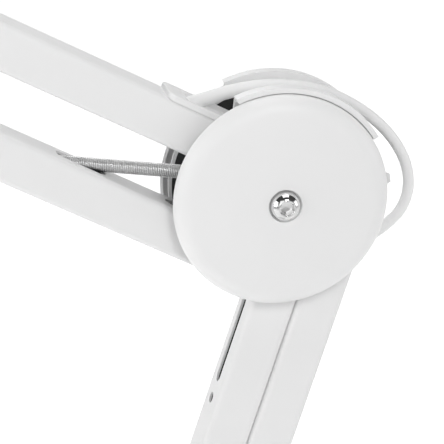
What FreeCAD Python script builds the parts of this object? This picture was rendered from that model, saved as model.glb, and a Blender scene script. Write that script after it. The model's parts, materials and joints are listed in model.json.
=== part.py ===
import FreeCAD, Part
import math
import os
import re
import Sketcher

# Swing arm desk lamp: a heavy round base, a swivelling shoulder, two arms made of
# parallel square tubes, an elbow and a head bracket between round covers, and a flat LED head.
# Millimetres, +Z up, the arms fold in the XZ plane, and the lamp reaches towards -X.
# The origin is the centre of the underside of the base.

NODE_FOLDER = "parts"
os.makedirs(NODE_FOLDER, exist_ok=True)

DIMENSIONS = [
    # alias, value, meaning
    ("arm_length", 400.0, "pivot to pivot, both arms"),
    ("lower_lean", 18.3, "degrees the lower arm leans back from upright"),
    ("upper_rise", 27.76, "degrees the upper arm rises"),
    ("shoulder_height", 112.0, "shoulder cover centre above the table"),
    ("tube_side", 21.3, "square tube, outside"),
    ("tube_wall", 1.2, "square tube wall"),
    ("tube_corner", 2.8, "square tube outside corner radius"),
    ("tube_end", 9.0, "tube past its pivots"),
    # pivots of the tubes, from the centre of the elbow cover
    ("top_pivot_x", -24.0, "upper arm, top tube"),
    ("top_pivot_z", 23.6, ""),
    ("bottom_pivot_x", -21.7, "upper arm, bottom tube"),
    ("bottom_pivot_z", -29.4, ""),
    ("left_pivot_x", 9.45, "lower arm, left tube"),
    ("left_pivot_z", -18.8, ""),
    ("right_pivot_x", 37.72, "lower arm, right tube"),
    ("right_pivot_z", -1.58, ""),
    # round covers
    ("cover_radius", 50.0, "outside radius"),
    ("cover_rim", 16.5, "rim plane from the lamp's middle plane"),
    ("cover_rise", 9.6, "rim plane to the crown"),
    ("cover_flat", 42.0, "radius where the crown meets the shoulder"),
    ("cover_drop", 6.6, "height there above the rim plane"),
    ("cover_dome", 300.0, "crown radius of curvature"),
    ("cover_shoulder", 9.9, "shoulder radius of curvature"),
    ("cover_wall", 1.6, "wall"),
    ("cover_hole", 7.75, "radius of the screw's recess"),
    ("cover_hub", 9.6, "outside radius of the hub inside"),
    ("screw_seat", 7.7, "seat of the screw above the rim plane"),
    ("screw_head", 7.0, "button head radius"),
    ("screw_head_rise", 5.8, "button head height"),
    ("screw_flat", 3.9, "radius of the flat round the socket"),
    ("screw_shank", 3.95, "M8 shank radius"),
    ("screw_length", 21.2, "under the head"),
    ("screw_crown", 5.4, "radius of curvature"),
    ("screw_edge", 0.5, "straight edge under the crown"),
    ("screw_play", 0.4, "radial, in the cover"),
    ("hub_wall", 3.0, ""),
    ("hub_sink", 0.15, "hub's top below the crown's inside"),
    ("socket_radius", 3.4, "hexagon socket, to its corners"),
    ("socket_depth", 3.4, ""),
    # side plates and what holds them
    ("plate_gap", 22.0, "between the inside faces"),
    ("plate_wall", 1.6, ""),
    ("plate_radius", 47.0, ""),
    ("lip_radius", 52.9, "lips that guide the lead, and lap over the covers' rims"),
    ("lip_inner", 50.4, ""),
    ("lip_face", 17.0, "lips' faces from the lamp's middle plane"),
    ("lip_start", 31.0, "degrees from +X"),
    ("lip_stop", 113.0, "degrees from +X"),
    ("lug_radius", 52.6, "stop lug"),
    ("guide_radius", 45.2, "floor of the lead guide"),
    ("guide_wall", 1.5, ""),
    ("guide_stop", 111.0, "degrees from +X"),
    ("spindle_radius", 5.8, "threaded spindle between the plates"),
    ("thread_radius", 4.0, ""),
    ("pin_radius", 4.0, "pivot pins"),
    ("pin_head", 6.5, "pivot pin head radius"),
    ("head_rise", 1.4, "pin head height"),
    ("head_chamfer", 0.6, ""),
    ("hole_play", 0.02, "radial, pins in plates"),
    ("bush_radius", 5.5, ""),
    ("bush_bore", 4.05, "radius, runs on the pin"),
    ("loose_bore", 4.3, "radius, at the pivot that closes each linkage"),
    # springs
    ("spring_radius", 3.25, "outside of the coils"),
    ("spring_wire", 0.55, "wire radius"),
    ("spring_pin", 1.75, "spring pin radius"),
    ("upper_spring_x", -19.9, "elbow pin of the upper arm's spring"),
    ("upper_spring_z", 7.55, ""),
    ("upper_coils_start", 13.5, "pin to the first coil"),
    ("lower_spring_x", -5.2, "elbow pin of the lower arm's spring"),
    ("lower_spring_z", -12.5, ""),
    ("upper_anchor_along", 124.0, "from the bottom pivot along the tube"),
    ("upper_anchor_off", -4.53, "from the tube's axis"),
    ("lower_anchor_along", 165.0, "from the left pivot down the tube"),
    ("lower_anchor_off", -5.0, "from the tube's axis"),
    ("coils_end", 9.0, "last coil to a ring's centre"),
    ("link_length", 72.8, "its pin to the spring's ring"),
    ("link_knee", 31.4, "its pin to its knee, along the spring"),
    ("link_bend", 3.4, "knee out of line, into the tube"),
    ("link_width", 3.0, "flat link to the lower spring"),
    ("link_eye", 3.2, "radius round its pin"),
    ("link_hole", 0.9, "radius of the hole for the spring's ring"),
    ("link_wall", 1.6, ""),
    # slots in the tubes, from the elbow pivot along the tube
    ("spring_slot_start", 69.0, ""),
    ("spring_slot_stop", 94.5, ""),
    ("spring_slot_width", 8.0, ""),
    ("link_slot_stop", 82.3, ""),
    ("link_slot_width", 5.6, ""),
    ("open_end", 15.0, "a cut past the elbow pivot, through the tube's end"),
    ("notch_stop", 7.0, "cut in the top tube's underside, to clear the spring"),
    ("notch_width", 8.0, ""),
    ("slit_stop", 38.0, "cut in the bottom tube's top face, to clear the spring"),
    ("slit_width", 6.0, ""),
    ("set_hole_along", 91.0, "small hole below the link's slot"),
    ("set_hole_radius", 2.6, ""),
    ("lead_exit_start", 17.0, "hole in the top tube for the lead"),
    ("lead_exit_stop", 30.0, ""),
    ("lead_entry_start", 22.3, "hole in the right tube for the lead"),
    ("lead_entry_stop", 37.0, ""),
    ("lead_hole_width", 6.4, ""),
    ("lead_radius", 2.65, ""),
    ("sleeve_radius", 3.5, "bend protection on the lead"),
    ("trough_start", -3.0, "raised rim round the lead's exit"),
    ("trough_stop", 36.0, ""),
    ("trough_rise", 2.4, ""),
    ("trough_wall", 1.5, ""),
    # base
    ("base_radius", 125.0, ""),
    ("base_lip", 1.0, "lower edge of the cover above the table"),
    ("base_top", 27.0, "top of the cover at the post"),
    ("base_fall", 4.0, "fall of the cover from the post to its edge"),
    ("base_shoulder", 12.0, "radius of the cover's edge"),
    ("base_wall", 2.0, ""),
    ("base_hole", 14.0, "radius of the cover's hole at the post"),
    ("foot_radius", 116.0, ""),
    ("foot_rise", 3.0, ""),
    ("weight_radius", 116.0, ""),
    ("weight_rise", 18.0, ""),
    ("weight_edge", 6.0, "chamfer"),
    ("base_screws", 19.0, "radius of the ring of screws"),
    ("base_screw", 3.0, "shank radius"),
    ("base_screw_grip", 17.5, "under the head"),
    ("base_screw_head", 5.0, "head radius"),
    ("base_screw_rise", 2.4, "head height"),
    ("inlet_height", 12.0, "supply socket above the table"),
    ("inlet_radius", 5.5, ""),
    ("inlet_length", 22.0, ""),
    ("inlet_bore", 2.8, "radius"),
    ("inlet_depth", 9.5, ""),
    ("inlet_pin", 1.0, "radius"),
    ("inlet_proud", 0.5, "socket past the cover"),
    ("inlet_notch", 20.0, "width of the weight's cut for the socket"),
    ("post_radius", 9.0, "swivel post"),
    ("post_top", 57.5, ""),
    ("post_flange", 26.0, "flange radius"),
    ("post_flange_rise", 4.0, ""),
    ("swivel_bore", 9.05, "bush bore radius"),
    ("swivel_bush", 11.5, "bush outside radius"),
    ("washer_radius", 13.8, ""),
    ("washer_play", 0.1, "washer to cover, and a little more above it"),
    ("block_radius", 15.0, "shoulder block"),
    ("block_bottom", 29.8, ""),
    ("block_shoulder", 63.0, "top of the round part"),
    ("tongue_width", 24.0, ""),
    ("tongue_foot", 3.0, "tongue's start below the round part's top"),
    ("tongue_top", 98.0, ""),
    ("rivet_radius", 3.0, ""),
    # head bracket and head
    ("swivel_x", -10.0, "head swivel from the head cover's centre"),
    ("swivel_block", 22.0, "side of the swivel block"),
    ("swivel_block_z", -46.0, "its centre"),
    ("stem_radius", 5.0, ""),
    ("stem_bore", 5.05, ""),
    ("stem_play", 0.3, "knuckle to block"),
    ("stem_cap", 7.5, "radius"),
    ("stem_cap_rise", 2.0, ""),
    ("tilt_z", -72.0, "tilt axis from the head cover's centre"),
    ("knuckle_radius", 10.0, ""),
    ("knuckle_width", 17.6, ""),
    ("ear_gap", 18.2, ""),
    ("ear_wall", 3.0, ""),
    ("ear_spread", 4.0, "ears' foot past the knuckle, each way"),
    ("tilt_pin", 4.0, "radius"),
    ("tilt_bore", 4.05, "radius"),
    ("tilt_head", 7.0, "radius"),
    ("tilt_head_rise", 2.0, ""),
    ("fork_drop", 17.0, "tilt axis above the head's top"),
    ("fork_base", 3.0, "thickness of the fork's foot"),
    ("fork_length", 44.0, ""),
    ("fork_shift", -6.0, "fork's foot towards the head's centre"),
    ("head_offset", -52.0, "head centre from the tilt axis"),
    ("head_radius", 85.0, ""),
    ("head_flat", 72.0, ""),
    ("head_shoulder", 13.5, ""),
    ("head_depth", 24.0, ""),
    ("head_wall", 1.8, ""),
    # inside the head, below its top
    ("driver_length", 46.0, ""),
    ("driver_width", 30.0, ""),
    ("driver_rise", 7.6, ""),
    ("driver_x", 18.0, "its centre from the head's"),
    ("driver_drop", 8.0, "its centre"),
    ("spreader_radius", 76.0, ""),
    ("spreader_drop", 12.0, ""),
    ("spreader_wall", 2.2, ""),
    ("board_radius", 70.0, ""),
    ("board_drop", 14.3, ""),
    ("board_wall", 1.5, ""),
    ("led_side", 3.5, ""),
    ("led_rise", 0.8, ""),
    ("led_drop", 16.3, "its centre"),
    ("led_inner_ring", 30.0, ""),
    ("led_outer_ring", 56.0, ""),
    ("diffuser_radius", 77.0, ""),
    ("diffuser_drop", 18.8, ""),
    ("diffuser_wall", 2.2, ""),
    ("bezel_lap", 3.0, "under the diffuser's rim"),
    ("bezel_drop", 23.2, "its lower face"),
    ("bezel_play", 0.2, ""),
    # switch
    ("button_radius", 7.0, ""),
    ("button_rise", 3.2, "above the head's top"),
    ("button_edge", 1.2, "rounding"),
    ("button_play", 0.4, "in its hole"),
    ("button_flange", 1.6, "wider than the button"),
    ("button_depth", 6.0, "lower face below the head's top"),
    ("button_offset", -52.0, "from the head's centre"),
    ("switch_side", 14.0, ""),
    ("switch_rise", 3.4, ""),
    ("switch_drop", 10.2, "its centre"),
]

doc = FreeCAD.newDocument("SwingArmLamp")
sheet = doc.addObject("Spreadsheet::Sheet", "Size")
for row, (alias, value, meaning) in enumerate(DIMENSIONS, start=1):
    sheet.set(f"A{row}", alias)
    sheet.set(f"B{row}", str(value))
    sheet.setAlias(f"B{row}", alias)
    sheet.set(f"C{row}", meaning)
doc.recompute()

V = FreeCAD.Vector
UP = V(0, 0, 1)
ACROSS = V(0, 1, 0)
ALONG = V(1, 0, 0)
nodes = {}


# ---------------------------------------------------------------- the sheet

def mm(rule):
    """The value of an expression over the sheet."""
    return float(sheet.evalExpression(str(rule)))


def bind(thing, prop, rule):
    """Binds a property to an expression over the sheet."""
    thing.setExpression(prop, re.sub(r"\b([a-z]\w*)\b(?!\()", r"Size.\1", str(rule)))


# ---------------------------------------------------------------- building blocks

def place(thing, at, axis=ACROSS, degrees=0.0):
    thing.Placement = FreeCAD.Placement(at, FreeCAD.Rotation(axis, degrees))
    return thing


def node(name, thing):
    """Names a finished piece. The name is also its file's name."""
    thing.Label = name
    nodes[name] = thing
    return thing


def new_body(name):
    return doc.addObject("PartDesign::Body", name)


def new_sketch(body, role):
    """A sketch on one of the body's own origin planes."""
    plane = next(f for f in body.Origin.OriginFeatures if f.Role == role)
    sketch = body.newObject("Sketcher::SketchObject", body.Name + "_sketch")
    sketch.AttachmentSupport = [(plane, "")]
    sketch.MapMode = "FlatFace"
    return sketch


def rule_constraint(sketch, kind, *where_and_rule):
    """A dimension of the sketch, bound to the sheet."""
    *where, rule = where_and_rule
    index = sketch.addConstraint(Sketcher.Constraint(kind, *where, mm(rule)))
    bind(sketch, f"Constraints[{index}]", rule)


def arc_between(start, stop, radius, bulge):
    """A minor arc. bulge is +1 if it swings to the left of the way from start to stop."""
    half = (stop - start) * 0.5
    side = UP.cross(half).normalize() * bulge
    sagitta = radius - math.sqrt(max(radius**2 - half.Length**2, 0.0))
    return Part.Arc(start, start + half + side * sagitta, stop)


def outline(sketch, corners):
    """A closed outline. A corner is (x, y), or (x, y, radius, bulge) where an arc leads on.
    An arc with radius None is a half circle."""
    points = [V(mm(c[0]), mm(c[1]), 0) for c in corners]
    starts, stops = [], []
    for i, corner in enumerate(corners):
        a, b = points[i], points[(i + 1) % len(points)]
        if len(corner) == 2:
            shape = Part.LineSegment(a, b)
        else:
            radius = mm(corner[2]) if corner[2] else (b - a).Length / 2
            shape = arc_between(a, b, radius, corner[3])
        edge = sketch.addGeometry(shape)
        first = 1 if (sketch.getPoint(edge, 1) - a).Length < 1e-6 else 2
        starts.append((edge, first))
        stops.append((edge, 3 - first))
        if len(corner) > 2 and corner[2]:
            rule_constraint(sketch, "Radius", edge, corner[2])
    for i, corner in enumerate(corners):
        sketch.addConstraint(Sketcher.Constraint("Coincident", *stops[i - 1], *starts[i]))
        rule_constraint(sketch, "DistanceX", *starts[i], corner[0])
        rule_constraint(sketch, "DistanceY", *starts[i], corner[1])


def circle(sketch, x, y, radius):
    edge = sketch.addGeometry(Part.Circle(V(mm(x), mm(y), 0), UP, mm(radius)))
    rule_constraint(sketch, "Radius", edge, radius)
    rule_constraint(sketch, "DistanceX", edge, 3, x)
    rule_constraint(sketch, "DistanceY", edge, 3, y)


def pad(body, sketch, length, centred=True):
    feature = body.newObject("PartDesign::Pad", body.Name + "_pad")
    feature.Profile = sketch
    bind(feature, "Length", length)
    feature.Midplane = centred
    body.Tip = feature
    doc.recompute()
    return feature


def pocket(body, sketch, both_ways=True, flipped=False):
    """Cuts through all. Checks that something was cut."""
    before = body.Shape.Volume
    feature = body.newObject("PartDesign::Pocket", body.Name + "_pocket")
    feature.Profile = sketch
    feature.Type = "ThroughAll"
    feature.Midplane = both_ways
    feature.Reversed = flipped
    body.Tip = feature
    doc.recompute()
    if body.Shape.Volume > before - 0.5:
        raise RuntimeError(f"{body.Name}: a pocket cut nothing")
    return feature


def revolve(body, sketch):
    """Turns the sketch about its own vertical axis."""
    feature = body.newObject("PartDesign::Revolution", body.Name + "_turned")
    feature.Profile = sketch
    feature.ReferenceAxis = (sketch, ["V_Axis"])
    feature.Angle = 360.0
    body.Tip = feature
    doc.recompute()
    return feature


def round_edges(body, radius, chosen):
    """Rounds the chosen edges of the body's last feature."""
    base = body.Tip
    names = [f"Edge{i}" for i, e in enumerate(base.Shape.Edges, start=1) if chosen(e)]
    feature = body.newObject("PartDesign::Fillet", body.Name + "_round")
    feature.Base = (base, names)
    bind(feature, "Radius", radius)
    body.Tip = feature
    doc.recompute()
    return feature


def turned(name, corners, at, role="XY_Plane"):
    """A turned piece. On the XY plane it turns about Y, on the XZ plane about Z."""
    body = new_body(name)
    sketch = new_sketch(body, role)
    outline(sketch, corners)
    revolve(body, sketch)
    return place(body, at)


def slab(name, corners, depth, at, holes=()):
    """A plate in the XZ plane, centred on it, with round holes (x, z, radius)."""
    body = new_body(name)
    sketch = new_sketch(body, "XZ_Plane")
    outline(sketch, corners)
    for x, z, radius in holes:
        circle(sketch, x, z, radius)
    pad(body, sketch, depth)
    return place(body, at)


def rod(name, radius, length, at, direction=ACROSS):
    """A round bar centred on a point."""
    bar = doc.addObject("Part::Cylinder", name)
    bind(bar, "Radius", radius)
    bind(bar, "Height", length)
    turn = FreeCAD.Rotation(UP, direction)
    start = at - V(direction).normalize() * (mm(length) / 2)
    bar.Placement = FreeCAD.Placement(start, turn)
    return bar


def upright(name, radius, low, high, x=0.0, y=0.0):
    """A round bar standing between two heights."""
    middle = V(x, y, mm(f"({low} + {high}) / 2"))
    return rod(name, radius, f"{high} - ({low})", middle, UP)


def brick(name, length, width, height, at):
    """A box centred on a point."""
    box = doc.addObject("Part::Box", name)
    for prop, rule in (("Length", length), ("Width", width), ("Height", height)):
        bind(box, prop, rule)
    box.Placement.Base = at - V(mm(length), mm(width), mm(height)) * 0.5
    return box


def cut(name, base, tool):
    made = doc.addObject("Part::Cut", name)
    made.Base = base
    made.Tool = tool
    return made


def fuse(name, *pieces):
    made = doc.addObject("Part::MultiFuse", name)
    made.Shapes = list(pieces)
    return made


def group(name, pieces):
    """Separate solids that share one node."""
    made = doc.addObject("Part::Compound", name + "_group")
    made.Links = list(pieces)
    return node(name, made)


def sleeve(name, radius, bore, length, at, direction=ACROSS):
    outer = rod(name + "_outer", radius, length, at, direction)
    inner = rod(name + "_bore", bore, f"{length} + 2", at, direction)
    return cut(name, outer, inner)


# ---------------------------------------------------------------- where things are

LEAN = math.radians(mm("lower_lean"))
RISE = math.radians(mm("upper_rise"))
LOWER = V(math.sin(LEAN), 0, math.cos(LEAN))        # shoulder to elbow
UPPER = V(math.cos(RISE), 0, -math.sin(RISE))       # head to elbow
LOWER_FACE = V(-math.cos(LEAN), 0, math.sin(LEAN))  # the lower tubes' narrow left faces
UPPER_FACE = V(math.sin(RISE), 0, math.cos(RISE))   # the upper tubes' top faces


def pivot(which):
    return V(mm(f"{which}_pivot_x"), 0, mm(f"{which}_pivot_z"))


SHOULDER = V(0, 0, mm("shoulder_height"))
ELBOW = SHOULDER + LOWER * mm("arm_length") - pivot("left") - pivot("right")
HEAD = ELBOW - UPPER * mm("arm_length") + pivot("top") + pivot("bottom")
SWIVEL = HEAD + V(mm("swivel_x"), 0, 0)
TILT = SWIVEL + V(0, 0, mm("tilt_z"))
LAMP = TILT + V(mm("head_offset"), 0, -mm("fork_drop"))


# ---------------------------------------------------------------- tubes of the arms

def square(half):
    return [(f"-{half}", f"-{half}"), (half, f"-{half}"), (half, half), (f"-{half}", half)]


def tube(name, far_pivot, along, slots=(), extra_holes=()):
    """A square tube from its far pivot to the elbow. Its own x axis runs to the elbow,
    and its own z axis leaves its top or left face. slots are (start, stop, width, face):
    distances back from the elbow pivot, and +1 for the z face or -1 for the other."""
    body = new_body(name)
    sketch = new_sketch(body, "YZ_Plane")
    outline(sketch, square("tube_side / 2"))
    pad(body, sketch, "arm_length + 2 * tube_end", centred=False)
    round_edges(body, "tube_corner", lambda e: e.Length > mm("arm_length"))
    hollow = new_sketch(body, "YZ_Plane")
    inside = "(tube_side / 2 - tube_wall)"
    outline(hollow, square(inside))
    pocket(body, hollow)
    inner_edge = mm(inside) + 0.01

    def is_inside_corner(edge):
        middle = edge.CenterOfMass
        return edge.Length > mm("arm_length") and max(abs(middle.y), abs(middle.z)) < inner_edge

    round_edges(body, "tube_corner - tube_wall", is_inside_corner)
    elbow_end = "(arm_length + tube_end)"
    holes = new_sketch(body, "XZ_Plane")
    bush_holes = [("tube_end", "0", "bush_radius"), (elbow_end, "0", "bush_radius")]
    for x, z, radius in [*bush_holes, *extra_holes]:
        circle(holes, x, z, radius)
    pocket(body, holes)
    for start, stop, width, face in slots:
        opening = new_sketch(body, "XY_Plane")
        w = f"{width} / 2"
        x0, x1 = f"({elbow_end} - {stop} + {w})", f"({elbow_end} - {start} - {w})"
        outline(opening, [(x0, f"-{w}"), (x1, f"-{w}", None, -1), (x1, w), (x0, w, None, -1)])
        pocket(body, opening, both_ways=False, flipped=face > 0)
    turn = FreeCAD.Rotation(ALONG, along)
    body.Placement = FreeCAD.Placement(far_pivot - along * mm("tube_end"), turn)
    return node(name, body)


def bushes(name, far_pivot, along, loose_at=None):
    """Plastic bushes in both ends of a tube. loose_at is 0 for the far pivot, 1 for the elbow."""
    made = []
    for end in (0, 1):
        at = far_pivot + along * (mm("arm_length") * end)
        bore = "loose_bore" if end == loose_at else "bush_bore"
        made.append(sleeve(f"{name}_{end}", "bush_radius", bore, "tube_side", at))
    group(name, made)


LEFT_FOOT = ELBOW + pivot("left") - LOWER * mm("arm_length")
RIGHT_FOOT = ELBOW + pivot("right") - LOWER * mm("arm_length")
TOP_TIP = ELBOW + pivot("top") - UPPER * mm("arm_length")
BOTTOM_TIP = ELBOW + pivot("bottom") - UPPER * mm("arm_length")

elbow_at = "(arm_length + tube_end)"
set_hole_near = "(set_hole_along - set_hole_radius)"
set_hole_far = "(set_hole_along + set_hole_radius + 0.01)"
tube(
    "lower_bar_left", LEFT_FOOT, LOWER,
    slots=[
        ("-open_end", "link_slot_stop", "link_slot_width", 1),
        (set_hole_near, set_hole_far, "(2 * set_hole_radius)", 1),
    ],
    extra_holes=[(f"{elbow_at} - lower_anchor_along", "lower_anchor_off", "spring_pin")],
)
tube(
    "lower_bar_right", RIGHT_FOOT, LOWER,
    slots=[("lead_entry_start", "lead_entry_stop", "lead_hole_width", -1)],
)
tube(
    "upper_bar_top", TOP_TIP, UPPER,
    slots=[
        ("lead_exit_start", "lead_exit_stop", "lead_hole_width", 1),
        ("-open_end", "notch_stop", "notch_width", -1),
    ],
)
tube(
    "upper_bar_bottom", BOTTOM_TIP, UPPER,
    slots=[
        ("spring_slot_start", "spring_slot_stop", "spring_slot_width", 1),
        ("-open_end", "slit_stop", "slit_width", 1),
    ],
    extra_holes=[(f"{elbow_at} - upper_anchor_along", "upper_anchor_off", "spring_pin")],
)
bushes("lower_bar_left_bushes", LEFT_FOOT, LOWER, loose_at=0)
bushes("lower_bar_right_bushes", RIGHT_FOOT, LOWER)
bushes("upper_bar_top_bushes", TOP_TIP, UPPER)
bushes("upper_bar_bottom_bushes", BOTTOM_TIP, UPPER, loose_at=0)


def trough():
    """A raised rim, open towards the elbow, round the lead's exit from the top tube."""
    body = new_body("lead_trough")
    sketch = new_sketch(body, "XY_Plane")
    far, near = f"({elbow_at} - trough_stop)", f"({elbow_at} - trough_start)"
    out, inn = "tube_side / 2", "(tube_side / 2 - trough_wall)"
    bend = f"({far} + tube_side / 2 - tube_corner)"
    outline(sketch, [
        (bend, f"-{out}"), (near, f"-{out}"), (near, f"-{inn}"), (bend, f"-{inn}", None, 1),
        (bend, inn), (near, inn), (near, out), (bend, out, None, -1),
    ])
    pad(body, sketch, "trough_rise", centred=False)
    turn = FreeCAD.Rotation(ALONG, UPPER)
    base = TOP_TIP - UPPER * mm("tube_end") + UPPER_FACE * (mm("tube_side") / 2)
    body.Placement = FreeCAD.Placement(base, turn)
    node("lead_trough", body)


trough()


# ---------------------------------------------------------------- covers, plates and pins

def cover(name, centre, side):
    """A round domed cover. side is -1 for the front, towards -Y, and +1 for the back."""
    def out(rule):
        return f"{side} * (cover_rim + {rule})"

    inner = "cover_radius - cover_wall"
    foot = "(plate_gap / 2 + plate_wall - cover_rim)"
    corners = [
        ("cover_hole", out("cover_rise"), "cover_dome", side),
        ("cover_flat", out("cover_drop"), "cover_shoulder", side),
        ("cover_radius", out("0")),
        (inner, out("0"), "cover_shoulder - cover_wall", -side),
        ("cover_flat - cover_wall / 4", out("cover_drop - cover_wall"), "cover_dome", -side),
        ("cover_hub", out("cover_rise - cover_wall - hub_sink")),
        ("cover_hub", out(foot)),
        ("cover_hub - hub_wall", out(foot)),
        ("cover_hub - hub_wall", out("screw_seat - cover_wall")),
        ("screw_shank + screw_play", out("screw_seat - cover_wall")),
        ("screw_shank + screw_play", out("screw_seat")),
        ("cover_hole", out("screw_seat")),
    ]
    return turned(name, corners, centre)


def cover_screw(name, centre, side):
    """M8 button head screw with a hexagon socket."""
    def out(rule):
        return f"{side} * (cover_rim + screw_seat + {rule})"

    corners = [
        ("0", out("screw_head_rise")),
        ("screw_flat", out("screw_head_rise"), "screw_crown", side),
        ("screw_head", out("screw_edge")),
        ("screw_head", out("0")),
        ("screw_shank", out("0")),
        ("screw_shank", out("-screw_length")),
        ("0", out("-screw_length")),
    ]
    blank = turned(name + "_blank", corners, centre)
    socket = doc.addObject("Part::Prism", name + "_socket")
    socket.Polygon = 6
    bind(socket, "Circumradius", "socket_radius")
    bind(socket, "Height", "socket_depth + 1")
    floor = centre + V(0, side * mm("cover_rim + screw_seat + screw_head_rise - socket_depth"), 0)
    socket.Placement = FreeCAD.Placement(floor, FreeCAD.Rotation(UP, V(0, side, 0)))
    return cut(name, blank, socket)


def rivet(name, at, shank, head):
    """A pin through both plates, headed at each end."""
    end = "(plate_gap / 2 + plate_wall)"
    tip = "(plate_gap / 2 + plate_wall + head_rise)"
    inner, outer = f"{head} - head_chamfer", f"{tip} - head_chamfer"
    corners = [
        ("0", f"-{tip}"), (inner, f"-{tip}"), (head, f"-({outer})"), (head, f"-{end}"), (shank, f"-{end}"),
        (shank, end), (head, end), (head, outer), (inner, tip), ("0", tip),
    ]
    return turned(name, corners, at)


def spindle(name, centre):
    node(name, sleeve(name, "spindle_radius", "thread_radius", "plate_gap", centre))


def on_circle(radius, degrees):
    return f"{radius} * cos({degrees})", f"{radius} * sin({degrees})"


def plate_y(side):
    return side * mm("plate_gap / 2 + plate_wall / 2")


PIVOT_HOLE = "pin_radius + hole_play"
SPRING_HOLE = "spring_pin + hole_play"
SCREW_HOLE = ("0", "0", "screw_shank + screw_play")
SPRING_HEAD = "spring_pin + 1.2"
SIDES = (("front", -1), ("back", 1))

# Elbow: its plates stand up as two lips that guide the lead, and have a stop lug.
elbow_outline = [
    (*on_circle("plate_radius", "0.5"),),
    (*on_circle("lug_radius", "4.2"), "lug_radius", -1),
    (*on_circle("lug_radius", "8.4"),),
    (*on_circle("plate_radius", "12"), "plate_radius", -1),
    (*on_circle("plate_radius", "lip_start - 4"),),
    (*on_circle("lip_radius", "lip_start"), "lip_radius", -1),
    (*on_circle("lip_radius", "lip_stop"),),
    (*on_circle("plate_radius", "lip_stop + 4"), "plate_radius", -1),
    (*on_circle("plate_radius", "240"), "plate_radius", -1),
]
elbow_holes = [
    *((f"{p}_pivot_x", f"{p}_pivot_z", PIVOT_HOLE) for p in ("top", "bottom", "left", "right")),
    *((f"{s}_spring_x", f"{s}_spring_z", SPRING_HOLE) for s in ("upper", "lower")),
    SCREW_HOLE,
]
lip_outline = [
    (*on_circle("lip_inner", "lip_stop"), "lip_inner", 1),
    (*on_circle("lip_inner", "lip_start"),),
    (*on_circle("lip_radius", "lip_start"), "lip_radius", -1),
    (*on_circle("lip_radius", "lip_stop"),),
]
lip_depth = "(lip_face - plate_gap / 2 - plate_wall)"
lip_y = mm(f"lip_face - {lip_depth} / 2")
for word, side in SIDES:
    name = f"elbow_plate_{word}"
    plate = slab(f"{name}_sheet", elbow_outline, "plate_wall", ELBOW + V(0, plate_y(side), 0), elbow_holes)
    lip = slab(f"{name}_lip", lip_outline, lip_depth, ELBOW + V(0, side * lip_y, 0))
    node(name, fuse(name, plate, lip))
    node(f"elbow_cover_{word}", cover(f"elbow_cover_{word}", ELBOW, side))
group("elbow_cover_screws", [cover_screw(f"elbow_screw_{w}", ELBOW, s) for w, s in SIDES])
spindle("elbow_spindle", ELBOW)
PIVOTS = ("top", "bottom", "left", "right")
group("elbow_pivot_pins", [
    rivet(f"elbow_pin_{p}", ELBOW + pivot(p), "pin_radius", "pin_head") for p in PIVOTS
])
UPPER_SPRING_PIN = ELBOW + V(mm("upper_spring_x"), 0, mm("upper_spring_z"))
LOWER_SPRING_PIN = ELBOW + V(mm("lower_spring_x"), 0, mm("lower_spring_z"))
group("elbow_spring_pins", [
    rivet("upper_spring_pin", UPPER_SPRING_PIN, "spring_pin", SPRING_HEAD),
    rivet("lower_spring_pin", LOWER_SPRING_PIN, "spring_pin", SPRING_HEAD),
])
inner_guide = "guide_radius - guide_wall"
guide = slab("elbow_lead_guide", [
    (*on_circle(f"({inner_guide})", "guide_stop"), inner_guide, 1),
    (*on_circle(f"({inner_guide})", "lip_start"),),
    (*on_circle("guide_radius", "lip_start"), "guide_radius", -1),
    (*on_circle("guide_radius", "guide_stop"),),
], "plate_gap", ELBOW)
node("elbow_lead_guide", guide)

# Shoulder: the elbow's pivots for the lower arm, turned half round.
shoulder_outline = [
    (*on_circle("plate_radius", "0"), "plate_radius", -1),
    (*on_circle("plate_radius", "120"), "plate_radius", -1),
    (*on_circle("plate_radius", "240"), "plate_radius", -1),
]
RIVET_Z = ("-26", "-38")
RIVET_HOLE = "rivet_radius + hole_play"
shoulder_holes = [
    ("-left_pivot_x", "-left_pivot_z", PIVOT_HOLE),
    ("-right_pivot_x", "-right_pivot_z", PIVOT_HOLE),
    *(("0", z, RIVET_HOLE) for z in RIVET_Z),
    SCREW_HOLE,
]
group("shoulder_plates", [
    slab(
        f"shoulder_plate_{w}", shoulder_outline, "plate_wall",
        SHOULDER + V(0, plate_y(s), 0), shoulder_holes,
    )
    for w, s in SIDES
])
group("shoulder_covers", [cover(f"shoulder_cover_{w}", SHOULDER, s) for w, s in SIDES])
group("shoulder_cover_screws", [cover_screw(f"shoulder_screw_{w}", SHOULDER, s) for w, s in SIDES])
spindle("shoulder_spindle", SHOULDER)
group("shoulder_pins", [
    rivet("shoulder_pin_left", LEFT_FOOT, "pin_radius", "pin_head"),
    rivet("shoulder_pin_right", RIGHT_FOOT, "pin_radius", "pin_head"),
    *(
        rivet(f"shoulder_rivet_{i}", SHOULDER + V(0, 0, mm(z)), "rivet_radius", "rivet_radius + 2")
        for i, z in enumerate(RIVET_Z)
    ),
])
tongue_low = "(block_shoulder - tongue_foot)"
block_blank = fuse(
    "shoulder_blank",
    upright("shoulder_round", "block_radius", "block_bottom", "block_shoulder"),
    brick(
        "shoulder_tongue", "tongue_width", "plate_gap", f"tongue_top - {tongue_low}",
        V(0, 0, mm(f"(tongue_top + {tongue_low}) / 2")),
    ),
)
block_tools = fuse(
    "shoulder_bores",
    upright("shoulder_bush_bore", "swivel_bush", "block_bottom", "post_top + 2"),
    *(
        rod(f"shoulder_rivet_bore_{i}", RIVET_HOLE, "2 * plate_gap", SHOULDER + V(0, 0, mm(z)))
        for i, z in enumerate(RIVET_Z)
    ),
)
node("shoulder_block", cut("shoulder_block", block_blank, block_tools))
bush_middle = V(0, 0, mm("(post_top + block_bottom) / 2"))
bush_length = "(post_top - block_bottom)"
node("swivel_bush", sleeve("swivel_bush", "swivel_bush", "swivel_bore", bush_length, bush_middle, UP))

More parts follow.
